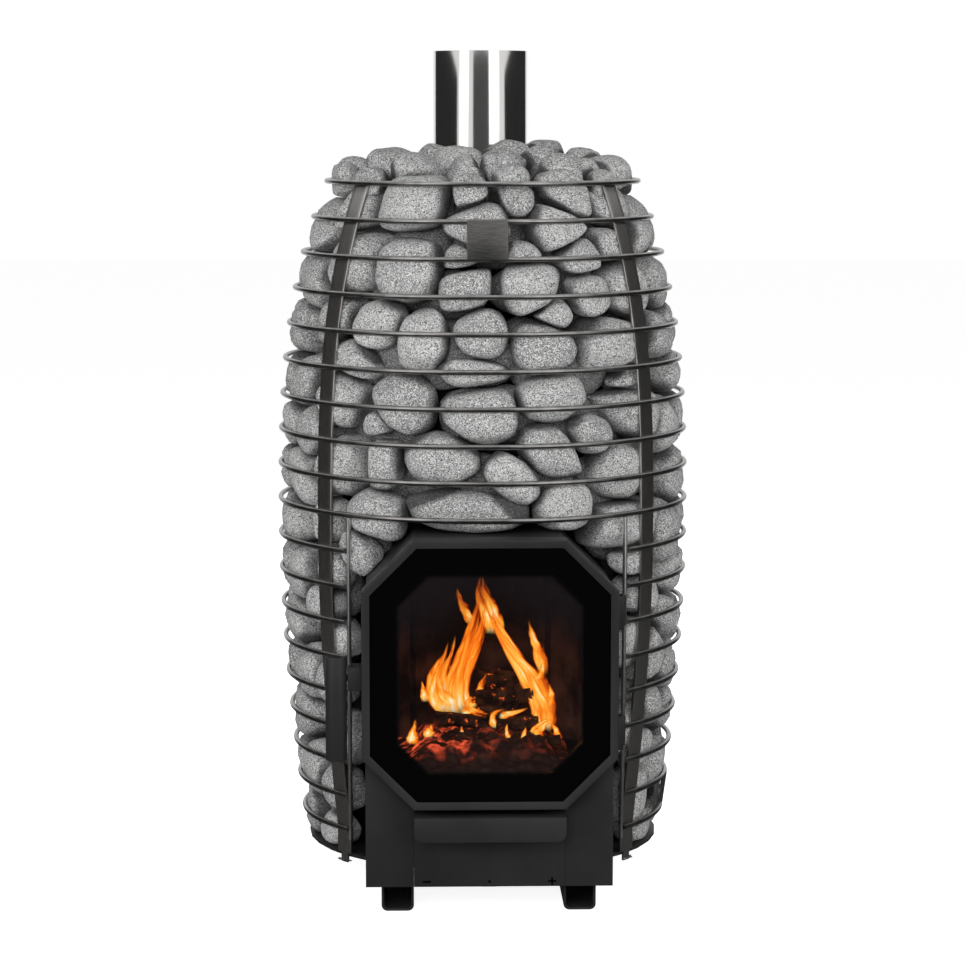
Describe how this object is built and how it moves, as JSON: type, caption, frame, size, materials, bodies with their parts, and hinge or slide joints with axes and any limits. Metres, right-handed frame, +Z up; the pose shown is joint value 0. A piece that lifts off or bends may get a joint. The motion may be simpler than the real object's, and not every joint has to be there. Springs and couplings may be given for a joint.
{
  "type": "wood-burning sauna stove",
  "caption": "Round rod cage filled with sauna stones around a steel firebox, with a glazed octagonal door, hanging handle, ash drawer, air slide and rear flue pipe.",
  "frame": {"origin": "on the floor, under the middle of the stove's bounding box", "axes": "+Z up, -Y out of the door, +X to the right as seen from the front"},
  "size_m": [0.4918, 0.564, 0.98],
  "materials": {
    "stainless_steel": "drawn rod and rolled sheet, satin",
    "black_steel": "matt black heat-proof paint",
    "sauna_stone": "rounded grey granite, speckled",
    "firebrick": "rough refractory brick",
    "cast_iron": "rough casting",
    "door_glass": "ceramic glass with a black printed border",
    "rope_seal": "braided glass-fibre rope"
  },
  "bodies": {
    "stove": {"cage_ring_01": "stainless_steel", "cage_ring_02": "stainless_steel", "cage_ring_03": "stainless_steel", "cage_ring_04": "stainless_steel", "cage_ring_05": "stainless_steel", "cage_ring_06": "stainless_steel", "cage_ring_07": "stainless_steel", "cage_ring_08": "stainless_steel", "cage_ring_09": "stainless_steel", "cage_ring_10": "stainless_steel", "cage_ring_11": "stainless_steel", "cage_ring_12": "stainless_steel", "cage_ring_13": "stainless_steel", "cage_ring_14": "stainless_steel", "cage_ring_15": "stainless_steel", "cage_ring_16": "stainless_steel", "cage_ring_17": "stainless_steel", "cage_ring_18": "stainless_steel", "cage_ring_19": "stainless_steel", "cage_ring_19_short": "stainless_steel", "cage_bar_front_left": "stainless_steel", "cage_bar_front_right": "stainless_steel", "cage_bar_rear_left": "stainless_steel", "cage_bar_rear_right": "stainless_steel", "cage_gap_strap": "stainless_steel", "doorway_rod_left": "stainless_steel", "doorway_rod_right": "stainless_steel", "badge_plate": "stainless_steel", "flue_pipe": "stainless_steel", "base_plate": "black_steel", "foot_left": "black_steel", "foot_right": "black_steel", "firebox_shell": "black_steel", "firebox_lid": "black_steel", "front_collar": "black_steel", "front_panel": "black_steel", "ash_box": "black_steel", "hinge_pin_lower": "black_steel", "hinge_pin_upper": "black_steel", "latch_keeper": "black_steel", "stones_course_1": "sauna_stone", "stones_course_2": "sauna_stone", "stones_course_3": "sauna_stone", "stones_course_4": "sauna_stone", "stones_crown": "sauna_stone", "firebrick_left": "firebrick", "firebrick_back": "firebrick", "firebrick_right": "firebrick", "fire_grate": "cast_iron", "smoke_baffle": "cast_iron"},
    "door": {"door_frame": "black_steel", "door_glass": "door_glass", "glass_retainer": "black_steel", "door_seal": "rope_seal", "handle_fork": "black_steel"},
    "handle": {"handle": "black_steel"},
    "ash_drawer": {"drawer_front": "black_steel", "ash_tray": "black_steel"},
    "air_slide": {"air_slide": "black_steel"}
  },
  "joints": [
    {"name": "door_hinge", "type": "hinge", "parent": "stove", "child": "door", "pos_m": [0.1485, -0.24546, 0.2825], "axis": [0, 0, 1], "range_deg": [0, 110]},
    {"name": "handle_lift", "type": "hinge", "parent": "door", "child": "handle", "pos_m": [-0.1519, -0.25696, 0.278], "axis": [-1, 0, 0], "range_deg": [0, 40]},
    {"name": "drawer_slide", "type": "slide", "parent": "stove", "child": "ash_drawer", "axis": [0, -1, 0], "range_m": [0, 0.26]},
    {"name": "air_control", "type": "slide", "parent": "stove", "child": "air_slide", "axis": [1, 0, 0], "range_m": [-0.065, 0.065]}
  ]
}
